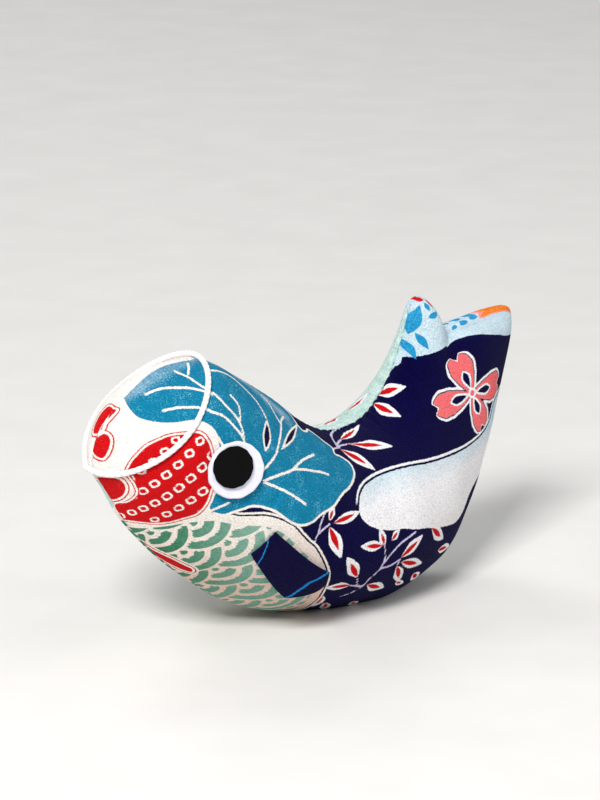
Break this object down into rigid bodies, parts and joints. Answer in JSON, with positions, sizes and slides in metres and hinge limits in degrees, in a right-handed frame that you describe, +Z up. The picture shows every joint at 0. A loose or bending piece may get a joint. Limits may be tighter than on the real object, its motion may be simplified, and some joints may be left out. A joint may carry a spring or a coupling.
{
  "type": "stuffed fabric carp ornament",
  "caption": "Small stuffed crepe carp in the form of a carp streamer, tail curled up, resting on its belly, with a cord mouth, disc eyes and hinged fabric fins.",
  "frame": {"origin": "on the ground under the middle of the carp", "axes": "+Z up; the head points to -X and the tail to +X; the carp's left side faces -Y"},
  "size_m": [0.0968, 0.0372, 0.052],
  "materials": {
    "crepe_left": "printed silk crepe, matt, fine pebbled grain",
    "crepe_right": "printed silk crepe, matt, fine pebbled grain",
    "wadding": "loose polyester fibre",
    "pellet_cloth": "plain cotton bag of pellets",
    "cord_white": "white twisted cord",
    "eye_white": "matt white disc with a rounded edge",
    "eye_black": "matt black disc",
    "crepe_navy": "folded navy crepe",
    "thread": "navy sewing thread"
  },
  "bodies": {
    "carp": {"panel_left": "crepe_left", "panel_right": "crepe_right", "stuffing": "wadding", "tail_wadding": "wadding", "pellet_bag": "pellet_cloth", "mouth_cord": "cord_white", "eye_white_left": "eye_white", "eye_white_right": "eye_white", "eye_pupil_left": "eye_black", "eye_pupil_right": "eye_black", "closing_thread": "thread"},
    "fin_left": {"pectoral_fin_left": "crepe_navy"},
    "fin_right": {"pectoral_fin_right": "crepe_navy"}
  },
  "joints": [
    {"name": "fin_left_lift", "type": "hinge", "parent": "carp", "child": "fin_left", "pos_m": [-0.02298, -0.01553, 0.01971], "axis": [-0.4683, 0.5322, -0.7054], "range_deg": [0, 35], "stiffness_Nm_per_rad": 0.0004},
    {"name": "fin_right_lift", "type": "hinge", "parent": "carp", "child": "fin_right", "pos_m": [-0.02298, 0.01553, 0.01971], "axis": [0.4683, 0.5322, 0.7054], "range_deg": [0, 35], "stiffness_Nm_per_rad": 0.0004}
  ]
}
